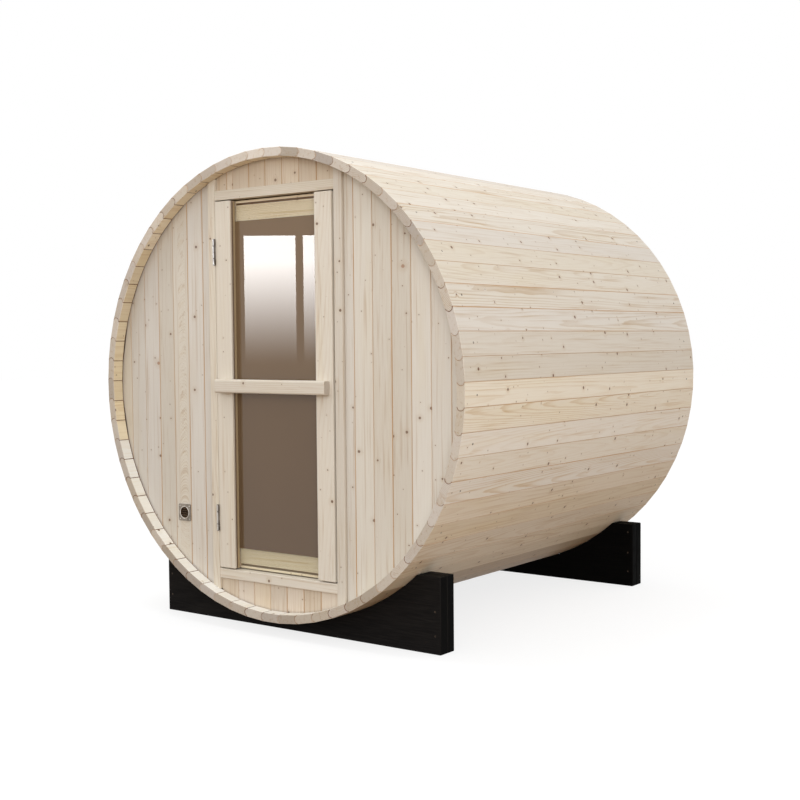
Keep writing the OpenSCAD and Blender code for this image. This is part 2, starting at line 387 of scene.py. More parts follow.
class Collector:
    """Joins boards into one mesh, with each point's place in its board and a tone for each board."""

    def __init__(self, name, seed):
        self.name = name
        self.rng = random.Random(seed)
        self.verts, self.faces = [], []
        self.grain, self.tone = [], []
        self.end, self.edge, self.smooth, self.coat = [], [], [], []

    def add(self, board, place, turn=Matrix.Identity(4)):
        draw = self.rng.uniform
        along, aside = draw(0, LOG_LENGTH), draw(-PITH_ASIDE, PITH_ASIDE)
        pith = Vector((along, aside, self.rng.choice((-1, 1)) * draw(*PITH_DEPTHS)))
        slope = draw(-GRAIN_SLOPE, GRAIN_SLOPE)
        tone = (draw(0, 1), draw(0, 1), draw(0, 1), 1.0)
        start = len(self.verts)
        for co in board.verts:
            self.verts.append(place @ co)
            local = turn @ co
            self.grain.append(local + pith + Vector((0, 0, slope * local.x)))
            self.tone.append(tone)
        self.faces += [tuple(start + i for i in face) for face in board.faces]
        self.end += board.end
        self.edge += board.edge
        self.smooth += board.smooth
        self.coat += board.coat

    def recoat(self, first, coat):
        """Gives the faces from the first one on another of the piece's materials."""
        self.coat[first:] = [coat] * (len(self.coat) - first)

    def piece(self, materials, body, slot, *nodes):
        """The finished object, riding on its body and standing for its CAD nodes."""
        mesh = bpy.data.meshes.new(self.name)
        mesh.from_pydata(self.verts, [], self.faces)
        for name, kind, domain, field, values in (
            ("grain", "FLOAT_VECTOR", "POINT", "vector", self.grain),
            ("tone", "FLOAT_COLOR", "POINT", "color", self.tone),
            ("end_grain", "FLOAT", "FACE", "value", self.end),
            ("edge", "FLOAT", "FACE", "value", self.edge),
        ):
            layer = mesh.attributes.new(name, kind, domain)
            flat = values if field == "value" else [number for value in values for number in value]
            layer.data.foreach_set(field, flat)
        mesh.set_sharp_from_angle(angle=SHARP_EDGE)
        mesh.polygons.foreach_set("use_smooth", self.smooth)
        for material in materials if isinstance(materials, tuple) else (materials,):
            mesh.materials.append(material)
        mesh.polygons.foreach_set("material_index", self.coat)
        piece = new_object(self.name, mesh)
        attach(piece, body)
        if nodes:
            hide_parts(*nodes)
        return piece


# Materials


class Graph:
    """A material and short calls that add nodes to it. A value is a number, a colour or a node's output."""

    def __init__(self, name):
        self.material = bpy.data.materials.new(name)
        self.material.use_nodes = True
        self.nodes = self.material.node_tree.nodes
        self.links = self.material.node_tree.links
        self.shader = self.nodes["Principled BSDF"]

    def put(self, socket, value):
        if isinstance(value, bpy.types.NodeSocket):
            self.links.new(value, socket)
        else:
            socket.default_value = value

    def node(self, kind, settings=None, **inputs):
        node = self.nodes.new(kind)
        for name, value in (settings or {}).items():
            setattr(node, name, value)
        for name, value in inputs.items():
            self.put(node.inputs[name.replace("_", " ").title()], value)
        return node

    def filled(self, kind, settings, values):
        """The outputs of a node whose first inputs are given in order."""
        node = self.node(kind, settings)
        for socket, value in zip(node.inputs, values):
            self.put(socket, value)
        return node.outputs

    def attribute(self, name, output="Fac"):
        return self.node("ShaderNodeAttribute", {"attribute_name": name}).outputs[output]

    def math(self, operation, *values):
        return self.filled("ShaderNodeMath", {"operation": operation}, values)[0]

    def vector(self, operation, *values):
        outputs = self.filled("ShaderNodeVectorMath", {"operation": operation}, values)
        return outputs["Value" if operation == "LENGTH" else "Vector"]

    def times(self, first, second):
        return self.math("MULTIPLY", first, second)

    def noise(self, place, scale, detail, roughness=0.5):
        """Noise with a scale for each axis."""
        spot = self.vector("MULTIPLY", place, Vector(scale))
        node = self.node("ShaderNodeTexNoise", vector=spot, scale=1.0, detail=detail, roughness=roughness)
        return node.outputs[0]

    def ease(self, value, low, high, out_low=0.0, out_high=1.0):
        """A smooth step from one value to another as the input goes from low to high."""
        values = (value, low, high, out_low, out_high)
        return self.filled("ShaderNodeMapRange", {"interpolation_type": "SMOOTHSTEP"}, values)[0]

    def mix(self, share, first, second, blend="MIX"):
        node = self.node("ShaderNodeMix", {"data_type": "RGBA", "blend_type": blend})
        for socket, value in zip((node.inputs[0], node.inputs[6], node.inputs[7]), (share, first, second)):
            self.put(socket, value)
        return node.outputs[2]

    def bump(self, height, strength, distance):
        node = self.node("ShaderNodeBump", height=height, strength=strength, distance=distance)
        self.put(self.shader.inputs["Normal"], node.outputs[0])

    def finish(self, **inputs):
        for name, value in inputs.items():
            self.put(self.shader.inputs[name.replace("_", " ").title().replace("Ior", "IOR")], value)
        return self.material


# Knots, small pin knots and large ovals: how many cells lie in a metre along and across the grain,
# and the least and greatest radius
KNOT_CELLS = Vector((3.6, 13.0, 0.0))
KNOT_RADII = (0.0029, 0.0078)
PIN_CELLS = Vector((7.0, 21.0, 0.0))
PIN_RADII = (0.0010, 0.0031)
OVAL_CELLS = Vector((1.5, 6.0, 0.0))
OVAL_RADII = (0.0055, 0.0105)
KNOT_STRETCH = 1.10
KNOT_CORE = (1.25, 0.75)
KNOT_HALO = (4.0, 0.9)

# Growth lines: their spacing, how far they stray, and how far knots draw them aside
RING_W = 0.0060
RING_RISE = (0.45, 0.90)
RING_FALL = (1.0, 0.92)
WANDER = 0.014
FRAY = 0.0022
KNOT_PULL = 0.003
OVAL_PULL = 0.018

# Noise of the wood: scales along the grain and across it, detail, and roughness
WANDER_NOISE = ((1.3, 13, 13), 3.0)
FRAY_NOISE = ((9, 90, 90), 2.0)
FIBRE_NOISE = ((5, 420, 420), 4.0, 0.6)
CLOUD_NOISE = ((1.6, 11, 11), 2.0)
STREAK_NOISE = ((2.1, 85, 85), 3.0)
RAGGED_NOISE = ((260, 260, 260), 1.0)

# Ramps: the values between which a texture or a board's tone counts, and the shares it then gives
FIGURE_BY_CLOUD = (0.3, 0.7, 0.25, 1.0)
FIGURE_BY_BOARD = (0.2, 0.8)
FAINT_FIGURE = 0.3
FIBRE_RAMP = (0.35, 0.75, 0.0, 0.12)
STREAK_RAMP = (0.52, 0.76, 0.0)
GREY_BY_BOARD = (0.0, 1.0, 0.60, 0.0)
WARM_BY_BOARD = 0.65
WARM_BY_CLOUD = (0.5, 0.85, 0.0, 0.5)
SEAM_BY_CLOUD = (0.3, 0.7, 0.55, 1.0)
SEAM_BY_BOARD = (0.1, 0.9, 0.45, 1.0)
# How strongly each board shows the painted shade of its joint lines
SHADED_JOINT_BY_BOARD = (0.20, 0.75, 0.25, 1.0)
# How far groove faces go towards the knot colour: painted shade
GROOVE_SHADE_SHARE = 0.60
# How far rounded edges go towards the pale wood: wear and a painted highlight
RUBBED_HIGHLIGHT_SHARE = 0.25
WOOD_ROUGHNESS = (0.3, 0.8, 0.50, 0.66)
WOOD_SPECULAR = 0.35

# Shares of the colour for a knot and for its halo, then depths of the relief and its bump
OVAL_SHARES = (0.80, 0.28)
KNOT_SHARES = (0.90, 0.22)
PIN_SHARES = (0.85, 0.15)
FIBRE_RELIEF, LINE_RELIEF, KNOT_RELIEF = 0.7, 0.35, 0.4
WOOD_BUMP = (0.22, 0.0008)

# Colours that all woods share
OVAL_BROWN = linear(158, 118, 92)
END_TINTS = (linear(210, 206, 205), linear(240, 238, 238))
SEAM_BROWN = (188, 152, 114)


def knots(graph, grain, cells, radii, amount):
    """Knots as (core, halo): ovals scattered along the board, each of its own size."""
    cell = graph.vector("MULTIPLY", grain, cells)
    field = graph.node("ShaderNodeTexVoronoi", {"voronoi_dimensions": "2D"}, vector=cell, scale=1.0)
    away = graph.vector("SUBTRACT", field.outputs["Position"], cell)
    real = graph.vector("MULTIPLY", away, Vector((KNOT_STRETCH / cells.x, 1 / cells.y, 0)))
    ragged = graph.noise(grain, *RAGGED_NOISE)
    distance = graph.math("MULTIPLY_ADD", ragged, radii[0], graph.vector("LENGTH", real))
    chance = graph.node("ShaderNodeSeparateColor", color=field.outputs["Color"])
    size = graph.ease(chance.outputs[0], 0.0, 1.0, *radii)
    there = graph.math("LESS_THAN", chance.outputs[1], amount)
    reach = graph.math("DIVIDE", distance, size)
    return tuple(graph.times(graph.ease(reach, *ramp), there) for ramp in (KNOT_CORE, KNOT_HALO))


def growth_lines(graph, grain, halo, oval_halo):
    """Thin lines of late wood round a slanted pith, drawn aside by the knots."""
    shifted = graph.vector("LENGTH", graph.vector("MULTIPLY", grain, Vector((0, 1, 1))))
    for stray, amount in (
        (graph.noise(grain, *WANDER_NOISE), WANDER), (graph.noise(grain, *FRAY_NOISE), FRAY),
        (halo, KNOT_PULL), (oval_halo, OVAL_PULL),
    ):
        shifted = graph.math("MULTIPLY_ADD", stray, amount, shifted)
    ring = graph.math("FRACT", graph.math("DIVIDE", shifted, RING_W))
    return graph.times(graph.ease(ring, *RING_RISE), graph.ease(ring, *RING_FALL))


def mark_edges(g, colour, edge, cloud, board, pale, shade, knot):
    """The colour changed at rounded edges, seams, joint lines and grooves. Rounded edges are painted lighter,
    as wear and a painted highlight; joint lines at the ends and grooves are painted darker, as painted shade.
    Board is one of the board's tones.
    """
    # Rounded edges painted lighter: wear and a painted highlight
    colour = g.mix(g.times(g.math("MAXIMUM", edge, 0.0), RUBBED_HIGHLIGHT_SHARE), colour, pale)
    stain = g.times(g.ease(cloud, *SEAM_BY_CLOUD), g.ease(board, *SEAM_BY_BOARD))
    colour = g.mix(g.times(g.ease(edge, FLAT, SEAM), stain), colour, shade)
    # Dark joint lines at the board ends, stronger on some boards: painted shade of the gaps
    joint_shade = g.times(g.ease(edge, SEAM, SHADED_JOINT), g.ease(board, *SHADED_JOINT_BY_BOARD))
    colour = g.mix(joint_shade, colour, knot)
    # Grooves painted darker towards the knot colour: painted shade
    return g.mix(g.ease(edge, SHADED_JOINT, SHADED_GROOVE, 0.0, GROOVE_SHADE_SHARE), colour, knot)


def figure(g, grain, line, fibre, cloud, board, lines, streaks):
    """The share of late wood in the colour. Board is one of the board's tones."""
    bold = g.ease(board, *FIGURE_BY_BOARD, FAINT_FIGURE * lines, lines)
    share = g.times(line, g.times(g.ease(cloud, *FIGURE_BY_CLOUD), bold))
    share = g.math("ADD", share, g.ease(fibre, *FIBRE_RAMP))
    streak = g.noise(grain, *STREAK_NOISE)
    return g.math("ADD", share, g.ease(streak, *STREAK_RAMP, streaks))


def tint_board(g, colour, tone, cloud, warm, grey):
    """The colour made warmer and greyer by the board's tones and by broad clouds."""
    colour = g.mix(g.times(tone[1], WARM_BY_BOARD), colour, warm, "MULTIPLY")
    colour = g.mix(g.ease(tone[0], *GREY_BY_BOARD), colour, grey, "MULTIPLY")
    return g.mix(g.ease(cloud, *WARM_BY_CLOUD), colour, warm, "MULTIPLY")


def wood(name, pale, late, warm, grey, knot, shade=SEAM_BROWN,
         lines=0.5, streaks=0.4, knot_share=0.6, ovals=0.0):
    """Planed softwood with growth lines, streaks, fibres and knots. Colours are in display values."""
    pale, late, warm, grey, knot, shade = (linear(*c) for c in (pale, late, warm, grey, knot, shade))
    g = Graph(name)
    grain = g.attribute("grain", "Vector")
    tone = g.node("ShaderNodeSeparateColor", color=g.attribute("tone", "Color")).outputs
    end, edge = g.attribute("end_grain"), g.attribute("edge")
    face = g.math("SUBTRACT", 1.0, end)
    core, halo = knots(g, grain, KNOT_CELLS, KNOT_RADII, g.times(face, knot_share))
    pin, pin_halo = knots(g, grain, PIN_CELLS, PIN_RADII, g.times(face, knot_share))
    oval, oval_halo = knots(g, grain, OVAL_CELLS, OVAL_RADII, g.times(face, ovals))
    line = growth_lines(g, grain, halo, oval_halo)
    fibre, cloud = g.noise(grain, *FIBRE_NOISE), g.noise(grain, *CLOUD_NOISE)

    colour = g.mix(figure(g, grain, line, fibre, cloud, tone[2], lines, streaks), pale, late)
    colour = tint_board(g, colour, tone, cloud, warm, grey)
    for middle, around, shares, tint in (
        (oval, oval_halo, OVAL_SHARES, OVAL_BROWN),
        (core, halo, KNOT_SHARES, knot),
        (pin, pin_halo, PIN_SHARES, knot),
    ):
        colour = g.mix(g.times(around, shares[1]), colour, late)
        colour = g.mix(g.times(middle, shares[0]), colour, tint)
    colour = g.mix(end, colour, g.mix(tone[0], *END_TINTS), "MULTIPLY")
    colour = mark_edges(g, colour, edge, cloud, tone[2], pale, shade, knot)

    height = g.math("SUBTRACT", g.times(fibre, FIBRE_RELIEF), g.times(line, LINE_RELIEF))
    g.bump(g.math("SUBTRACT", height, g.times(core, KNOT_RELIEF)), *WOOD_BUMP)
    roughness = g.ease(fibre, *WOOD_ROUGHNESS)
    return g.finish(base_color=colour, roughness=roughness, specular_ior_level=WOOD_SPECULAR)


# Black stain
STAIN_FIBRE_NOISE = ((4, 300, 300), 4.0, 0.6)
STAIN_CLOUD_NOISE = ((3, 16, 16), 3.0)
STAIN_FIBRE = (0.3, 0.8)
STAIN_CLOUD = (0.45, 0.8, 0.0, 0.5)
STAIN_RUBBED = (0.3, 0.7, 0.1, 0.6)
STAIN_ENDWISE = (0.6, 0.9, 0.0, 0.8)
STAIN_END_BLACK = linear(5, 5, 5)
STAIN_BUMP = (0.25, 0.0010)
STAIN_ROUGHNESS = (0.3, 0.8, 0.42, 0.62)
STAIN_SPECULAR = 0.01

# Brushed metal
BRUSH_NOISE = ((900, 900, 60), 3.0)
BRUSH_RAMP = (0.3, 0.7)
BRUSH_SPAN = 0.15
BRUSH_BUMP = (0.12, 0.0002)
FILM_NOISE = ((45, 45, 45), 3.0)
FILM_RAMP = (0.35, 0.75, 0.0, 0.7)

# Glass
GLASS_IOR = 1.52
DUST_NOISE = ((260, 260, 260), 2.0)
# Bronze glass is painted paler from the lower to the upper height: a painted reflection
BRONZE_REFLECTION_HEIGHTS = (0.3, 1.7)
BRONZE_TINTS = (linear(105, 84, 62), linear(128, 105, 79))
BRONZE_FILM = linear(88, 70, 54)
BRONZE_FILM_NOISE = ((3, 3, 1.4), 2.0)
BRONZE_FILM_RAMP = (0.3, 0.7, 0.0, 0.12)
BRONZE_ROUGHNESS = (0.3, 0.9, 0.0, 0.012)
BRONZE_ALPHA = 0.90
CLEAR_TINTS = (linear(176, 172, 140), linear(188, 182, 152))
CLEAR_RAMP = (0.3, 0.8)
CLEAR_ROUGHNESS = (0.3, 0.9, 0.01, 0.04)
CLEAR_ALPHA = 0.12


def black_stain(name, dark, light, worn):
    """Black stained timber: faint grain under the stain, edges rubbed a little thin and black ends."""
    dark, light, worn = linear(*dark), linear(*light), linear(*worn)
    g = Graph(name)
    grain = g.attribute("grain", "Vector")
    fibre = g.noise(grain, *STAIN_FIBRE_NOISE)
    cloud = g.noise(grain, *STAIN_CLOUD_NOISE)
    colour = g.mix(g.ease(fibre, *STAIN_FIBRE), dark, light)
    colour = g.mix(g.ease(cloud, *STAIN_CLOUD), colour, worn)
    rubbed = g.times(g.attribute("edge"), g.ease(cloud, *STAIN_RUBBED))
    colour = g.mix(rubbed, colour, worn)
    normal = g.node("ShaderNodeNewGeometry").outputs["Normal"]
    endwise = g.math("ABSOLUTE", g.node("ShaderNodeSeparateXYZ", vector=normal).outputs["X"])
    colour = g.mix(g.ease(endwise, *STAIN_ENDWISE), colour, STAIN_END_BLACK)
    g.bump(fibre, *STAIN_BUMP)
    roughness = g.ease(cloud, *STAIN_ROUGHNESS)
    return g.finish(base_color=colour, roughness=roughness, specular_ior_level=STAIN_SPECULAR)


def steel(name, colour, dark, rough):
    """Brushed metal with fine scratches and a dull film."""
    g = Graph(name)
    place = g.node("ShaderNodeTexCoord").outputs["Object"]
    brush = g.noise(place, *BRUSH_NOISE)
    film = g.noise(place, *FILM_NOISE)
    tint = g.mix(g.ease(film, *FILM_RAMP), linear(*colour), linear(*dark))
    g.bump(brush, *BRUSH_BUMP)
    roughness = g.ease(brush, *BRUSH_RAMP, rough, rough + BRUSH_SPAN)
    return g.finish(base_color=tint, roughness=roughness, metallic=1.0)


def bronze_glass(name):
    """Dark bronze tinted glass, painted a little paler towards its top as a painted reflection, with a faint
    unevenness in its film.
    """
    g = Graph(name)
    place = g.node("ShaderNodeTexCoord").outputs["Object"]
    height = g.node("ShaderNodeSeparateXYZ", vector=place).outputs["Z"]
    colour = g.mix(g.ease(height, *BRONZE_REFLECTION_HEIGHTS), *BRONZE_TINTS)
    film = g.noise(place, *BRONZE_FILM_NOISE)
    colour = g.mix(g.ease(film, *BRONZE_FILM_RAMP), colour, BRONZE_FILM)
    roughness = g.ease(g.noise(place, *DUST_NOISE), *BRONZE_ROUGHNESS)
    return g.finish(base_color=colour, roughness=roughness, ior=GLASS_IOR, alpha=BRONZE_ALPHA)


def clear_glass(name):
    """Clear, slightly green glass in front of the rails."""
    g = Graph(name)
    dust = g.noise(g.node("ShaderNodeTexCoord").outputs["Object"], *DUST_NOISE)
    colour = g.mix(g.ease(dust, *CLEAR_RAMP), *CLEAR_TINTS)
    roughness = g.ease(dust, *CLEAR_ROUGHNESS)
    return g.finish(base_color=colour, roughness=roughness, ior=GLASS_IOR, alpha=CLEAR_ALPHA)


# Woods: the pale and the late wood of each, and what its kind has in common
STAVE_LOOK = dict(warm=(252, 247, 232), grey=(234, 231, 228), knot=(96, 55, 28), shade=(206, 158, 106),
                  lines=0.60, streaks=0.42, knot_share=0.76)
LINING_LOOK = dict(warm=(252, 246, 230), grey=(236, 232, 226), knot=(84, 56, 38),
                   lines=0.40, streaks=0.35, knot_share=0.50)
LIT_LINING_LOOK = dict(warm=(253, 250, 243), grey=(240, 238, 234), knot=(96, 68, 48),
                        lines=0.30, streaks=0.25, knot_share=0.40)
WALL_LOOK = dict(grey=(232, 230, 228), knot=(116, 90, 70), lines=0.40, streaks=0.45)
FRAME_LOOK = dict(warm=(252, 247, 232), grey=(234, 232, 230), knot=(104, 76, 54),
                  lines=0.35, streaks=0.45, knot_share=0.64)
RAIL_LOOK = dict(warm=(250, 245, 225), grey=(230, 226, 216))
STAVE_WOOD = wood("stave_wood", (218, 212, 203), (182, 154, 118), **STAVE_LOOK)
# A lighter copy for the middle of the side, a warmer one for the warm bounce below it and a darker one
# underneath: painted light and shade
LIT_STAVE_WOOD = wood("lit_stave_wood", (236, 230, 221), (204, 176, 138), **STAVE_LOOK)
WARM_BOUNCE_STAVE_WOOD = wood(
    "warm_bounce_stave_wood", (232, 220, 201), (192, 160, 118), **STAVE_LOOK | {"warm": (252, 246, 228)})
SHADED_LOW_STAVE_WOOD = wood(
    "shaded_low_stave_wood", (201, 183, 160), (162, 130, 94), **STAVE_LOOK | {"warm": (252, 244, 226)})
INSIDE_WOOD = wood("inside_wood", (234, 222, 196), (198, 168, 124), **LINING_LOOK)
# Lighter copies of the inside wood for the groups at the top and at the bottom: painted light
TOP_INSIDE_LIT_WOOD = wood("top_inside_lit_wood", (250, 241, 222), (210, 180, 136), **LINING_LOOK)
LOW_INSIDE_LIT_WOOD = wood("low_inside_lit_wood", (238, 237, 232), (214, 194, 160), **LIT_LINING_LOOK)
WALL_WOOD = wood(
    "wall_wood", (217, 213, 206), (178, 153, 124), (252, 247, 234),
    knot_share=0.55, ovals=0.36, **WALL_LOOK)
# A darker, warmer copy of the wall wood for the boards over and under the door: painted shade
SHADED_WALL_WOOD = wood(
    "shaded_wall_wood", (218, 207, 193), (180, 149, 114), (252, 245, 228),
    knot_share=0.70, ovals=0.45, **WALL_LOOK)
DOOR_WOOD = wood("door_wood", (219, 212, 200), (186, 161, 130), **FRAME_LOOK)
# The bottom rail's dark knot colour also darkens its groove: painted shade
RAIL_WOOD = wood(
    "rail_wood", (230, 220, 196), (194, 167, 126), knot=(72, 56, 40),
    lines=0.65, streaks=0.50, knot_share=0.40, **RAIL_LOOK)
# A lighter copy of the rail wood for the top rail: painted light
LIT_TOP_RAIL_WOOD = wood(
    "lit_top_rail_wood", (245, 232, 206), (208, 178, 132), knot=(104, 78, 54),
    lines=0.65, streaks=0.50, knot_share=0.60, **RAIL_LOOK)
# A darker copy of the rail wood for the stiles' inner sides: painted shade
SHADED_REBATE_WOOD = wood(
    "shaded_rebate_wood", (178, 158, 126), (142, 120, 88), knot=(92, 68, 46),
    lines=0.50, streaks=0.45, knot_share=0.40, **RAIL_LOOK)

# Choices by group of staves, counted clockwise from the top. The seeds give lighter boards on the side, and
# the woods are lighter, warmer or darker copies by group: painted light and shade.
STAVE_SEEDS = {2: 804, 3: 460, 4: 345}
FIRST_STAVE_SEED = 100
LIT_END_GROUPS = (10, 11, 12)
STAVE_WOODS = {3: LIT_STAVE_WOOD, 4: WARM_BOUNCE_STAVE_WOOD, 5: SHADED_LOW_STAVE_WOOD}
INSIDE_WOODS = {**dict.fromkeys((0, 11, 12), TOP_INSIDE_LIT_WOOD),
                **dict.fromkeys(range(4, 9), LOW_INSIDE_LIT_WOOD)}

# A lighter copy of the black stain for the front cradle and a darker one for the back cradle: painted light
# and shade
LIT_FRONT_BLACK = black_stain("lit_front_black", (23, 22, 22), (37, 35, 34), (43, 41, 39))
SHADED_BACK_BLACK = black_stain("shaded_back_black", (8, 8, 8), (16, 15, 14), (20, 19, 18))
# A lighter steel for the upper hinge and a darker one for the lower: painted light and shade. Knuckle sides
# and ends take the darker knuckle steel: painted shade
LIT_HINGE_STEEL = steel("lit_hinge_steel", (206, 204, 202), (160, 157, 154), 0.26)
SHADED_HINGE_STEEL = steel("shaded_hinge_steel", (194, 188, 180), (152, 146, 138), 0.34)
KNUCKLE_SHADE_STEEL = steel("knuckle_shade_steel", (128, 120, 112), (84, 78, 72), 0.40)
VENT_STEEL = steel("vent_steel", (146, 136, 124), (98, 90, 80), 0.38)
RING_STEEL = steel("ring_steel", (230, 224, 216), (140, 130, 118), 0.30)
LOUVRE_STEEL = steel("louvre_steel", (120, 96, 74), (74, 58, 44), 0.45)
SCREW_STEEL = steel("screw_steel", (92, 78, 66), (52, 44, 38), 0.42)
BRONZE = bronze_glass("bronze_glass")
CLEAR = clear_glass("clear_glass")


# The barrel's staves


def stave_outline():
    """The cross-section of a stave about its middle: bead on the clockwise flank, cove on the other."""
    sine, cosine = math.sin(HALF_PITCH), math.cos(HALF_PITCH)
    joint_r = FACE_MID / cosine
    bead_half = STAVE_T / 2 - BEAD_SHOULDER
    bead_r = (bead_half ** 2 + BEAD_H ** 2) / (2 * BEAD_H)
    bead_set = bead_r - BEAD_H
    trim = STAVE_GAP / 2 / cosine
    edge_out = FACE_OUT * math.tan(HALF_PITCH) - trim
    edge_in = FACE_IN * math.tan(HALF_PITCH) - trim

    def arc(side, radius):
        radial = Vector((side * sine, cosine))
        inward = Vector((cosine, -side * sine))
        middle = radial * joint_r + inward * bead_set
        reach = math.acos(max(-1.0, min(1.0, (bead_set + side * STAVE_GAP / 2) / radius)))
        turns = [reach * (2 * k / BEAD_STEPS - 1) for k in range(BEAD_STEPS + 1)]
        return [middle - inward * (radius * math.cos(t)) + radial * (radius * math.sin(t)) for t in turns]

    points = [(-edge_in, FACE_IN)]
    points += [tuple(p) for p in arc(-1, bead_r)]
    points += [(-edge_out, FACE_OUT), (edge_out, FACE_OUT)]
    points += [tuple(p) for p in reversed(arc(1, bead_r + STAVE_GAP))]
    points.append((edge_in, FACE_IN))
    outer = BEAD_STEPS + 2
    corners = (0, outer, outer + 1, len(points) - 1)
    radii = [STAVE_EASE if i in corners else 0.0 for i in range(len(points))]
    marks = [SEAM] * len(points)
    marks[outer], marks[-1] = OUTSIDE, INSIDE
    # The inner corners are painted as shaded grooves: painted shade at the inner joint lines
    corner_marks = [SHADED_GROOVE if i in (0, len(points) - 1) else SEAM for i in range(len(points))]
    return round_corners([(y, z - FACE_MID) for y, z in points], radii, 2, corner_marks, marks)


def stave_out(index):
    """The direction in which a stave's outer face looks."""
    angle = FIRST_JOINT - (index + 0.5) * 2 * HALF_PITCH
    return RIGHT * math.cos(angle) + UP * math.sin(angle)


def line_room(board, low, high):
    """Gives the inner faces that lie between two places along a stave the wood of the room."""
    for i, corners in enumerate(board.faces):
        middle = sum(board.verts[c].x for c in corners) / len(corners)
        if board.coat[i] == COATS[INSIDE] and low < middle < high:
            board.coat[i] = ROOM_COAT


def staves():
    outline = stave_outline()
    per_group = STAVE_COUNT // STAVE_GROUPS
    front_low, front_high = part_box("front_wall_left")
    back_low, back_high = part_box("back_wall_left")
    # A shallow slot in front of each wall, whose inside faces are painted dark as the shade of the croze
    # groove
    levels = ((front_low.y - SLOT_W, SLOT_DEPTH), (front_low.y, CROZE_DEPTH), (front_high.y, 0.0),
              (back_low.y, CROZE_DEPTH), (back_high.y, SLOT_DEPTH), (back_high.y + SLOT_W, 0.0))
    for group in range(STAVE_GROUPS):
        boards = Collector(f"stave_boards_{group + 1:02d}", STAVE_SEEDS.get(group, FIRST_STAVE_SEED + group))
        for index in range(group * per_group, (group + 1) * per_group):
            out = stave_out(index)
            sink = boards.rng.uniform(0, STAVE_FACE_PLAY)
            low = FRONT_Y + boards.rng.uniform(0, STAVE_END_PLAY)
            high = BACK_Y - boards.rng.uniform(0, STAVE_END_PLAY)
            place = frame_of(BACK, out, AXIS + out * (FACE_MID - sink))
            board = prism(outline, low, high, STAVE_END_EASE, True, levels)
            line_room(board, front_high.y, back_low.y)
            boards.add(board, place)
        # Ends of the upper left groups painted lighter: painted light
        ends = LIT_STAVE_WOOD if group in LIT_END_GROUPS else STAVE_WOOD
        inside, outside = INSIDE_WOODS.get(group, INSIDE_WOOD), STAVE_WOODS.get(group, STAVE_WOOD)
        boards.piece((ends, inside, outside, INSIDE_WOOD), "cabin", "stave_spruce", f"staves_{group + 1:02d}")


def screw_head(radius):
    """A countersunk screw head with a recess in its middle."""
    return lathe([(radius * r, radius * h) for r, h in SCREW_HEAD_SHARES], SCREW_STEPS)


def stave_screws():
    """Screws that pin every second stave to the end walls."""
    screws = Collector("stave_screws", 7)
    head = screw_head(SCREW_R)
    for index in range(1, STAVE_COUNT, 2):
        out = stave_out(index)
        for y in (FRONT_Y + STAVE_SCREW_SET, BACK_Y - STAVE_SCREW_SET):
            aside = BACK.cross(out) * screws.rng.uniform(-STAVE_SCREW_ASIDE, STAVE_SCREW_ASIDE)
            along = screws.rng.uniform(-STAVE_SCREW_ALONG, STAVE_SCREW_ALONG)
            middle = AXIS + out * (FACE_OUT + SCREW_PROUD) + BACK * (y + along) + aside
            screws.add(head, frame_of(BACK, out, middle))
    screws.piece(SCREW_STEEL, "cabin", "stainless_steel")


# The end walls


def wall_end(z_low, z_high):
    """The ends of an upright wall board: straight at a height, or along the wall's edge by y."""
    def rim(y):
        return math.sqrt(max(WALL_R ** 2 - y ** 2, 0.0))
    low = (lambda y: AXIS_Z - rim(y)) if z_low is None else z_low
    high = (lambda y: AXIS_Z + rim(y)) if z_high is None else z_high
    return low, high


def wall_boards(boards, x_edges, y_face, y_hidden, z_low=None, z_high=None):
    """Upright boards between x edges, their good face at y_face. They meet at their backs."""
    facing = FRONT if y_face < y_hidden else BACK
    depth = abs(y_face - y_hidden)
    low, high = wall_end(z_low, z_high)
    for x0, x1 in zip(x_edges, x_edges[1:]):
        sink = boards.rng.uniform(0, BOARD_FACE_PLAY)
        place = frame_of(UP, facing, BACK * y_face)
        y0, y1 = sorted((-x0, -x1) if facing == FRONT else (x0, x1))
        y0, y1 = max(y0 + BOARD_GAP, -WALL_R), min(y1 - BOARD_GAP, WALL_R)
        corners = [(y0 - BOARD_GAP, -depth), (y1 + BOARD_GAP, -depth), (y1, -sink), (y0, -sink)]
        radii = (BOARD_BACK_EASE, BOARD_BACK_EASE, BOARD_EASE, BOARD_EASE)
        outline = round_corners(corners, radii, 1, SEAM, (FLAT, SEAM, FLAT, SEAM))
        boards.add(prism(spread(outline, END_STEP), low, high), place)


def board_edges(low, high, extra=()):
    """The x places of the board joints between two edges, with the edges."""
    reach = math.ceil(WALL_R / BOARD_W)
    joints = [(k + 0.5) * BOARD_W for k in range(-reach, reach)] + list(extra)
    return [low] + sorted(x for x in joints if low + BOARD_MIN_W < x < high - BOARD_MIN_W) + [high]


def bore(piece, centre, radius):
    """Cuts the vent's round hole through a wall."""
    reach = VENT_BORE_REACH
    cutter = Collector("cutter", 0)
    drill = lathe([(0, -reach), (radius, -reach), (radius, reach), (0, reach)])
    cutter.add(drill, frame_of(UP, FRONT, centre))
    mesh = bpy.data.meshes.new("cutter")
    mesh.from_pydata(cutter.verts, [], cutter.faces)
    tool = new_object("cutter", mesh)
    cut = piece.modifiers.new("bore", "BOOLEAN")
    cut.operation = "DIFFERENCE"
    cut.object = tool
    graph = bpy.context.evaluated_depsgraph_get()
    result = bpy.data.meshes.new_from_object(piece.evaluated_get(graph))
    piece.modifiers.clear()
    piece.data = result
    bpy.data.objects.remove(tool)


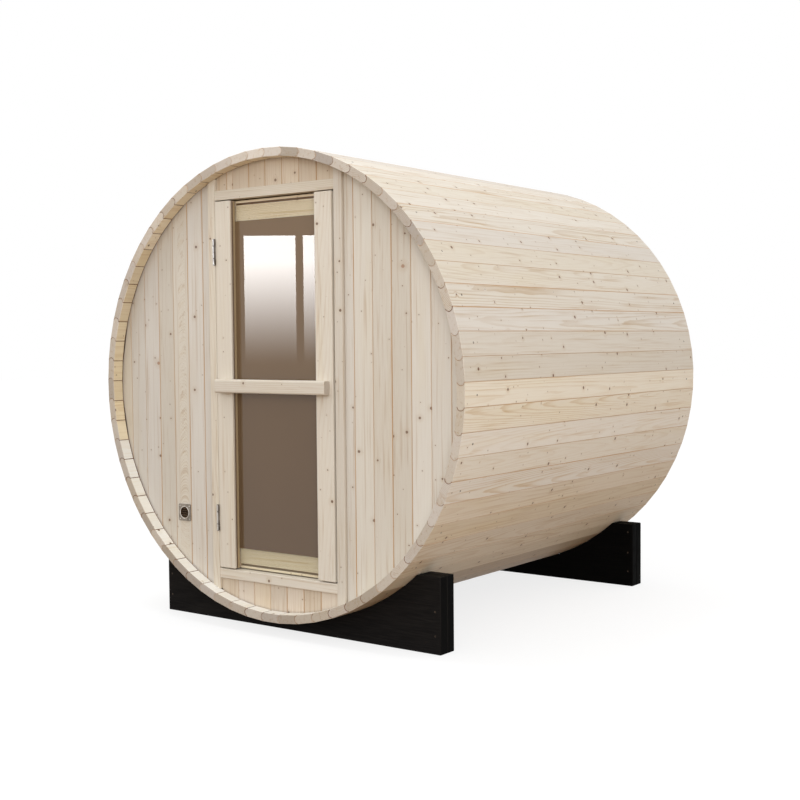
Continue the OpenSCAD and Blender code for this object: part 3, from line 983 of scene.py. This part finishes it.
def front_wall():
    low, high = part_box("front_wall_left")
    y_face, y_hidden = low.y, high.y
    inner = high.x
    door_low, door_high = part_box("front_wall_over_door")
    for name, seed, edges, z_low, z_high in (
        ("left", 21, board_edges(-WALL_R, inner), None, None),
        ("right", 22, board_edges(-inner, WALL_R), None, None),
        ("over_door", 545, board_edges(door_low.x, door_high.x, (NARROW_STRIP_X,)), door_low.z, None),
        ("under_door", 24, board_edges(door_low.x, door_high.x), None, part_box("front_wall_under_door")[1].z),
    ):
        boards = Collector(f"front_boards_{name}", seed)
        wall_boards(boards, edges, y_face, y_hidden, z_low, z_high)
        timber = SHADED_WALL_WOOD if name in ("over_door", "under_door") else WALL_WOOD
        piece = boards.piece(timber, "cabin", "wall_spruce", f"front_wall_{name}")
        if name == "left":
            bore(piece, vent_centre(), VENT_HOLE_R)


def back_wall():
    low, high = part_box("back_wall_left")
    for name, seed, edges in (
        ("left", 25, board_edges(-WALL_R, high.x)),
        ("right", 26, board_edges(high.x, WALL_R)),
    ):
        boards = Collector(f"back_boards_{name}", seed)
        wall_boards(boards, edges, high.y, low.y)
        boards.piece(WALL_WOOD, "cabin", "wall_spruce", f"back_wall_{name}")


# The door frame and the door


def section_outline(section, radii):
    """The outline of a cross-section given as (y, z, mark) corners with a radius each."""
    return round_corners([p[:2] for p in section], radii, side_marks=[p[2] for p in section])


def upright(boards, low, high, ease, ends=None, end_ease=None):
    """An upright post between two corners, facing front."""
    corners = [(-high.x, -high.y), (-low.x, -high.y), (-low.x, -low.y), (-high.x, -low.y)]
    outline = round_corners(corners, ease)
    z_low, z_high = ends or (low.z, high.z)
    if ends:
        outline = spread(outline, END_STEP)
    boards.add(prism(outline, z_low, z_high, ease if end_ease is None else end_ease), UPRIGHT)


def level(boards, low, high, ease, steps=2):
    """A level beam between two corners, facing front."""
    corners = [(low.z, -high.y), (high.z, -high.y), (high.z, -low.y), (low.z, -low.y)]
    boards.add(prism(round_corners(corners, ease, steps), low.x, high.x, min(ease, DOOR_EASE)), LEVEL)


def door_frame():
    seat_r = FACE_IN - SEAT_GAP

    def rise(y):
        return math.sqrt(seat_r ** 2 - y ** 2)

    for side, seed in (("left", 31), ("right", 32)):
        boards = Collector(f"jamb_{side}", seed)
        low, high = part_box(f"door_jamb_{side}")
        ends = (lambda y: AXIS_Z - rise(y), lambda y: AXIS_Z + rise(y))
        upright(boards, low, high, FRAME_EASE, ends)
        boards.piece(DOOR_WOOD, "cabin", "door_spruce", f"door_jamb_{side}")
    for name, seed in (("head", 33), ("sill", 213)):
        boards = Collector(f"door_frame_{name}", seed)
        level(boards, *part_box(f"door_{name}"), FRAME_EASE)
        boards.piece(DOOR_WOOD, "cabin", "door_spruce", f"door_{name}")


def stile(side, seed):
    """An upright of the door: a groove for the glass and an open groove along its inner edge, painted darker
    as shade. Its inner sides take a darker copy of the wood: painted shade.
    """
    glass_low, glass_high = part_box("door_glass")
    pane_front, pane_back = -(glass_low.y - SEAT_GAP), -(glass_high.y + SEAT_GAP)
    low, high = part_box(f"door_stile_{side}")
    outer, inner = (low.x, high.x) if side == "left" else (high.x, low.x)
    bottom = inner + math.copysign(GLASS_BITE, inner)
    bed = inner + math.copysign(EDGE_GROOVE_D, inner)
    front, back = -low.y, -high.y
    lip = front - STILE_LIP
    far = lip - EDGE_GROOVE_W
    section = [(-outer, back, FLAT), (-inner, back, INSIDE), (-inner, pane_back, SEAM),
               (-bottom, pane_back, SEAM), (-bottom, pane_front, SEAM), (-inner, pane_front, INSIDE),
               (-inner, far, SHADED_GROOVE), (-bed, far, SHADED_GROOVE), (-bed, lip, SHADED_GROOVE),
               (-inner, lip, FLAT), (-inner, front, FLAT), (-outer, front, FLAT)]
    radii = [DOOR_EASE, DOOR_EASE] + [0.0] * (len(section) - 4) + [DOOR_EASE, DOOR_EASE]
    boards = Collector(f"stile_{side}", seed)
    boards.add(prism(section_outline(section, radii), low.z, high.z, DOOR_EASE), UPRIGHT)
    boards.piece((DOOR_WOOD, SHADED_REBATE_WOOD), "door", "door_spruce", f"door_stile_{side}")


def rail(end, seed, sign, timber):
    """A rail of the door with an open groove near its outer edge, whose faces are painted darker as shade.
    Sign is 1 at the top, -1 below.
    """
    low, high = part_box(f"door_rail_{end}")
    outer, inner = (high.z, low.z) if sign > 0 else (low.z, high.z)
    front, back = -low.y, -high.y
    lip = outer - sign * RAIL_LIP
    far = lip - sign * EDGE_GROOVE_W
    bed = front - EDGE_GROOVE_D
    section = [(inner, back, FLAT), (outer, back, FLAT), (outer, front, FLAT), (lip, front, SHADED_GROOVE),
               (lip, bed, SHADED_GROOVE), (far, bed, SHADED_GROOVE), (far, front, FLAT), (inner, front, FLAT)]
    boards = Collector(f"rail_{end}", seed)
    boards.add(prism(section_outline(section, RAIL_ROUNDS), low.x, high.x, RAIL_ROUND / 2), LEVEL)
    boards.piece(timber, "door", "door_spruce", f"door_rail_{end}")


def door():
    stile("left", 41)
    stile("right", 207)
    rail("top", 43, 1, LIT_TOP_RAIL_WOOD)
    rail("bottom", 44, -1, RAIL_WOOD)
    bar = Collector("handle_rail", 45)
    level(bar, *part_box("handle_bar"), BAR_ROUND, BAR_STEPS)
    bar.piece(DOOR_WOOD, "door", "door_spruce", "handle_bar")


def glass():
    """The pane: bronze between the rails, clear in front of them."""
    low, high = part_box("door_glass")
    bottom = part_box("door_rail_bottom")[1].z
    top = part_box("door_rail_top")[0].z
    pane = Collector("glass_pane", 51)
    for z_low, z_high, coat in ((low.z, bottom, 1), (bottom, top, 0), (top, high.z, 1)):
        first = len(pane.coat)
        corners = Vector((low.x, low.y, z_low)), Vector((high.x, high.y, z_high))
        upright(pane, *corners, GLASS_EASE, end_ease=0.0)
        pane.recoat(first, coat)
    pane.piece((BRONZE, CLEAR), "door", "tinted_glass", "door_glass")


# Metal fittings


def vent_centre():
    low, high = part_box("vent_plate")
    return Vector(((low.x + high.x) / 2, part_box("front_wall_left")[0].y, (low.z + high.z) / 2))


def ring_plate(outer, inner, low, high):
    """A plate between two outlines of as many points each, with a hole in its middle."""
    board = Board()
    count = len(outer)
    for points, height in ((outer, low), (outer, high), (inner, high), (inner, low)):
        board.verts += [Vector((x, y, height)) for x, y in points]
    for k in range(4):
        for i in range(count):
            j = (i + 1) % count
            a, b = k * count, ((k + 1) % 4) * count
            board.face((a + i, a + j, b + j, b + i))
    return board


def vent_plate():
    """A square plate with a raised ring round its hole and a screw in each corner."""
    low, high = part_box("vent_plate")
    half = (high.x - low.x) / 2
    place = frame_of(RIGHT, FRONT, vent_centre())
    square = [(-half, -half), (half, -half), (half, half), (-half, half)]
    rounded = round_corners(square, VENT_CORNER_R, VENT_CORNER_STEPS)
    outer = [p[:2] for p in spread(rounded, 2 * half / VENT_SIDE_STEPS)]
    inner = [tuple(Vector(p).normalized() * (VENT_HOLE_R + VENT_RING_W / 2)) for p in outer]
    cover = Collector("vent_cover", 61)
    cover.add(ring_plate(outer, inner, 0.0, VENT_PLATE_T), place)
    # The plate's outer side takes the dark screw steel: painted shade round its edge
    cover.coat[:len(outer)] = [2] * len(outer)
    bright = len(cover.coat)
    r0, r1 = VENT_HOLE_R, VENT_HOLE_R + VENT_RING_W
    top = (vent_centre().y - low.y) * VENT_RING_SHARE
    outside, inside = (top * share for share in VENT_RING_SHOULDER_SHARES)
    cover.add(lathe([(r0, 0.0), (r1, 0.0), (r1, outside), (r1 - VENT_RING_EASE, top),
                     (r0 + VENT_RING_EASE, top), (r0, inside)]), place)
    rise = Vector((0, 0, VENT_PLATE_T + SCREW_PROUD))
    for x in (-1, 1):
        for y in (-1, 1):
            spot = Vector((x, y, 0)) * (half - VENT_SCREW_INSET) + rise
            cover.add(screw_head(SMALL_SCREW_R), place @ Matrix.Translation(spot))
    cover.recoat(bright, 1)
    cover.piece((VENT_STEEL, RING_STEEL, SCREW_STEEL), "cabin", "stainless_steel", "vent_plate")


def vent_grille():
    """Slanted louvres in a short sleeve."""
    low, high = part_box("vent_grille")
    place = frame_of(RIGHT, FRONT, vent_centre())
    depth = (high.y - low.y) / 2
    sleeve_out = VENT_HOLE_R - SEAT_GAP
    sleeve_in = sleeve_out - LOUVRE_T
    grille = Collector("vent_louvres", 62)
    sleeve = [(sleeve_in, -depth), (sleeve_out, -depth), (sleeve_out, depth), (sleeve_in, depth)]
    grille.add(lathe(sleeve), place)
    half, thin = LOUVRE_SHARE * depth / math.cos(LOUVRE_TILT), LOUVRE_T / 2
    blade = round_corners([(-half, -thin), (half, -thin), (half, thin), (-half, thin)], LOUVRE_EASE)
    tilt = Matrix.Rotation(math.pi / 2 + LOUVRE_TILT, 4, "X")
    pitch = 2 * VENT_HOLE_R / LOUVRES
    for k in range(LOUVRES):
        height = (k + 0.5) * pitch - VENT_HOLE_R
        reach = math.sqrt(max(sleeve_in ** 2 - height ** 2, 0.0))
        grille.add(prism(blade, -reach, reach), place @ Matrix.Translation((0, height, 0)) @ tilt)
    grille.piece(LOUVRE_STEEL, "cabin", "stainless_steel", "vent_grille")


def knuckle(low, high, radius, bore_r=0.0):
    """One barrel of a hinge with eased ends, solid or bored for the pin. Its front takes the first material as
    a painted highlight; its sides and ends take the second as painted shade.
    """
    ease = radius * KNUCKLE_EASE_SHARE
    board = lathe([(bore_r, low), (radius - ease, low), (radius, low + ease), (radius, high - ease),
                   (radius - ease, high), (bore_r, high)], KNUCKLE_STEPS)
    for i, corners in enumerate(board.faces):
        middle = sum((board.verts[c] for c in corners), Vector()) / len(corners)
        # Front faces are painted bright as a highlight; the sides and eased ends are painted dark as shade
        worn = -middle.y > radius * KNUCKLE_LIT_SHARE and low + ease < middle.z < high - ease
        board.coat[i] = 0 if worn else 1
    return board


def hinge(name, seed, door_seed, metal):
    """A butt hinge: outer knuckles, pin and leaf on the jamb, bored middle knuckle and leaf on the door."""
    low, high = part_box(f"{name}_hinge_frame_leaf")
    door_low, door_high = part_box(f"{name}_hinge_door_leaf")
    pin = Vector(frame["joints"][0]["pos_m"])
    radius = pin.y - low.y
    pin_r = radius * PIN_SHARE
    bore_r = pin_r + PIN_GAP
    middle = (low.z + high.z) / 2
    mid_half = (high.z - low.z) * MID_KNUCKLE_SHARE / 2
    leaf_y = pin.y + radius + KNUCKLE_GAP
    at_pin = Matrix.Translation((pin.x, pin.y, 0))

    fixed = Collector(f"{name}_hinge_on_jamb", seed)
    leaf_x = low.x + LEAF_T
    for z0, z1 in ((low.z, middle - mid_half), (middle + mid_half, high.z)):
        fixed.add(knuckle(z0, z1, radius), at_pin)
        upright(fixed, Vector((low.x, pin.y, z0)), Vector((leaf_x, leaf_y, z1)), LEAF_EASE)
    upright(fixed, Vector((low.x, leaf_y, low.z)), Vector((leaf_x, high.y, high.z)), LEAF_EASE)
    reach = mid_half + pin_r
    fixed.add(knuckle(middle - reach, middle + reach, pin_r), at_pin)
    fixed.piece((metal, KNUCKLE_SHADE_STEEL), "cabin", "stainless_steel", f"{name}_hinge_frame_leaf")

    swing = Collector(f"{name}_hinge_on_door", door_seed)
    leaf_x = door_high.x - LEAF_T
    z0, z1 = middle - mid_half + KNUCKLE_GAP, middle + mid_half - KNUCKLE_GAP
    swing.add(knuckle(z0, z1, radius, bore_r), at_pin)
    upright(swing, Vector((leaf_x, pin.y + bore_r, z0)), Vector((door_high.x, leaf_y, z1)), LEAF_EASE)
    upright(swing, Vector((leaf_x, leaf_y, door_low.z)), door_high, LEAF_EASE)
    swing.piece((metal, KNUCKLE_SHADE_STEEL), "door", "stainless_steel", f"{name}_hinge_door_leaf")


def hinges():
    hinge("upper", 71, 81, LIT_HINGE_STEEL)
    hinge("lower", 72, 82, SHADED_HINGE_STEEL)


# The cradles


def cradle_outline(low, high):
    """The front outline of a cradle plank, with its saddle."""
    saddle_r = BARREL_R + SEAT_GAP
    brim = math.sqrt(saddle_r ** 2 - (AXIS_Z - high.z) ** 2)
    reach = math.asin(brim / saddle_r)
    saddle = []
    for k in range(1, SADDLE_STEPS):
        angle = reach * (1 - 2 * k / SADDLE_STEPS)
        saddle.append((saddle_r * math.sin(angle), AXIS_Z - saddle_r * math.cos(angle)))
    points = [(low.x, low.z), (high.x, low.z), (high.x, high.z), (brim, high.z)] + saddle
    points += [(-brim, high.z), (low.x, high.z)]
    radii = [0.0] * len(points)
    for i in (0, 1, 2, 3, len(points) - 2, len(points) - 1):
        radii[i] = CRADLE_EASE
    return round_corners(points, radii)


def cradles():
    for name, seed in (("front_cradle_outer_plank", 81), ("front_cradle_inner_plank", 82),
                       ("back_cradle_inner_plank", 83), ("back_cradle_outer_plank", 84)):
        low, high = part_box(name)
        planks = Collector(name.replace("plank", "beam"), seed)
        place = frame_of(BACK, UP)
        flipped = [(-y, z, mark) for y, z, mark in cradle_outline(low, high)]
        planks.add(prism(flipped, low.y, high.y, CRADLE_EASE), place, ACROSS_TO_GRAIN)
        stain = LIT_FRONT_BLACK if name.startswith("front") else SHADED_BACK_BLACK
        planks.piece(stain, "cabin", "black_cradle", name)


def cradle_screws():
    screws = Collector("cradle_screws", 8)
    head = screw_head(SCREW_R)
    for name, heights, facing in (
        ("front_cradle_outer_plank", FRONT_SCREW_HEIGHTS, FRONT),
        ("back_cradle_inner_plank", BACK_SCREW_HEIGHTS, FRONT),
        ("back_cradle_outer_plank", BACK_SCREW_HEIGHTS, BACK),
    ):
        low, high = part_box(name)
        y = low.y if facing == FRONT else high.y
        for x in (-CRADLE_SCREW_X, CRADLE_SCREW_X):
            for z in heights:
                screws.add(head, frame_of(UP, facing, Vector((x, y, z)) + facing * SCREW_PROUD))
    screws.piece(SCREW_STEEL, "cabin", "stainless_steel")


# The stage: floor, light and camera

WORLD_LIGHT = 1.09
FLOOR_HALF = 30.0
FLOOR_WHITE = (0.22, 0.22, 0.22, 1.0)
FLOOR_GLOW = 0.79
FLOOR_ROUGHNESS = 0.9
FLOOR_BOUNCE = (0.20, 0.115, 0.045, 1.0)

# Lamps that look at the middle of the barrel: place, width and power
SOFTBOXES = {
    "right": (Vector((4.5, -5.6, 2.0)), 3.5, 135.0),
    "side": (Vector((6.5, -0.5, 2.5)), 3.0, 8.0),
    "overhead": (Vector((-0.8, -2.1, 5.8)), 0.9, 62.0),
}

# Two bright windows behind the camera, which only glossy surfaces show
WINDOW_PLACE = Vector((-1.328, -3.545, 0))
WINDOW_TURN = math.radians(-36.5)
WINDOW_TOP = 1.855
WINDOW_FADE_TOP = 1.690
WINDOW_BOTTOM = 1.034
WINDOW_SPANS = ((-0.975, -0.650), (-0.602, -0.400))
WINDOW_LIGHT = 19.5
WINDOW_CURVE = 1.5


def seen_directly(nodes, links):
    """1 for rays that show the background: from the camera, in gloss and through glass."""
    path = nodes.new("ShaderNodeLightPath")
    seen = path.outputs["Is Camera Ray"]
    for kind in ("Is Glossy Ray", "Is Transmission Ray"):
        either = nodes.new("ShaderNodeMath")
        either.operation = "MAXIMUM"
        links.new(seen, either.inputs[0])
        links.new(path.outputs[kind], either.inputs[1])
        seen = either.outputs[0]
    return seen


def world():
    scene_world = bpy.data.worlds.new("studio")
    scene_world.use_nodes = True
    nodes, links = scene_world.node_tree.nodes, scene_world.node_tree.links
    strength = nodes.new("ShaderNodeMapRange")
    links.new(seen_directly(nodes, links), strength.inputs[0])
    strength.inputs[3].default_value = WORLD_LIGHT
    strength.inputs[4].default_value = 1.0
    background = nodes["Background"]
    background.inputs["Color"].default_value = (1, 1, 1, 1)
    links.new(strength.outputs[0], background.inputs["Strength"])
    bpy.context.scene.world = scene_world


def floor():
    """A pale floor that reads as white where nothing shades it, and throws back a little warm light."""
    h = FLOOR_HALF
    mesh = bpy.data.meshes.new("floor")
    mesh.from_pydata([(-h, -h, 0), (h, -h, 0), (h, h, 0), (-h, h, 0)], [], [(0, 1, 2, 3)])
    g = Graph("floor_white")
    seen = seen_directly(g.nodes, g.links)
    mesh.materials.append(g.finish(
        base_color=g.mix(seen, FLOOR_BOUNCE, FLOOR_WHITE), roughness=FLOOR_ROUGHNESS, specular_ior_level=0.0,
        emission_color=(FLOOR_GLOW, FLOOR_GLOW, FLOOR_GLOW, 1), emission_strength=seen))
    ground = new_object("floor", mesh)


def softboxes():
    for name, (place, width, power) in SOFTBOXES.items():
        data = bpy.data.lights.new(name, "AREA")
        data.shape = "SQUARE"
        data.size = width
        data.energy = power
        lamp = new_object(name, data)
        lamp.location = place
        lamp.rotation_euler = (AXIS - place).to_track_quat("-Z", "Y").to_euler()
        lamp.visible_camera = False
        lamp.visible_glossy = False


def window_light():
    """Light that fades downwards."""
    g = Graph("window_light")
    place = g.node("ShaderNodeNewGeometry").outputs["Position"]
    height = g.node("ShaderNodeSeparateXYZ", vector=place).outputs["Z"]
    fade = g.filled("ShaderNodeMapRange", {}, (height, WINDOW_BOTTOM, WINDOW_FADE_TOP))[0]
    curve = g.math("POWER", fade, WINDOW_CURVE)
    glow = g.node("ShaderNodeEmission", strength=g.math("MULTIPLY_ADD", curve, WINDOW_LIGHT, 1.0))
    g.put(g.nodes["Material Output"].inputs["Surface"], glow.outputs[0])
    return g.material


def windows():
    material = window_light()
    turn = Matrix.Translation(WINDOW_PLACE) @ Matrix.Rotation(WINDOW_TURN, 4, "Z")
    for k, (x0, x1) in enumerate(WINDOW_SPANS):
        mesh = bpy.data.meshes.new(f"window_{k + 1}")
        corners = [(x0, WINDOW_BOTTOM), (x1, WINDOW_BOTTOM), (x1, WINDOW_TOP), (x0, WINDOW_TOP)]
        mesh.from_pydata([turn @ Vector((x, 0, z)) for x, z in corners], [], [(0, 1, 2, 3)])
        mesh.materials.append(material)
        card = new_object(mesh.name, mesh)
        card.visible_camera = False
        card.visible_diffuse = False
        card.visible_transmission = False
        card.visible_shadow = False


def camera():
    data = bpy.data.cameras.new("camera")
    data.sensor_width = SENSOR_MM
    data.lens = LENS_MM
    eye = new_object("camera", data)
    ahead = Vector((-math.sin(CAMERA_YAW) * math.cos(CAMERA_DOWN),
                    math.cos(CAMERA_YAW) * math.cos(CAMERA_DOWN), -math.sin(CAMERA_DOWN)))
    aside = ahead.cross(UP).normalized()
    above = aside.cross(ahead)
    x = aside * math.cos(CAMERA_ROLL) + above * math.sin(CAMERA_ROLL)
    y = above * math.cos(CAMERA_ROLL) - aside * math.sin(CAMERA_ROLL)
    turn = Matrix((x, y, -ahead)).transposed().to_4x4()
    eye.matrix_world = Matrix.Translation(CAMERA_PLACE) @ turn
    bpy.context.scene.camera = eye


camera()
staves()
stave_screws()
front_wall()
back_wall()
door_frame()
door()
glass()
vent_plate()
vent_grille()
hinges()
cradles()
cradle_screws()
floor()
world()
softboxes()
windows()
bpy.context.scene.view_settings.view_transform = "Standard"
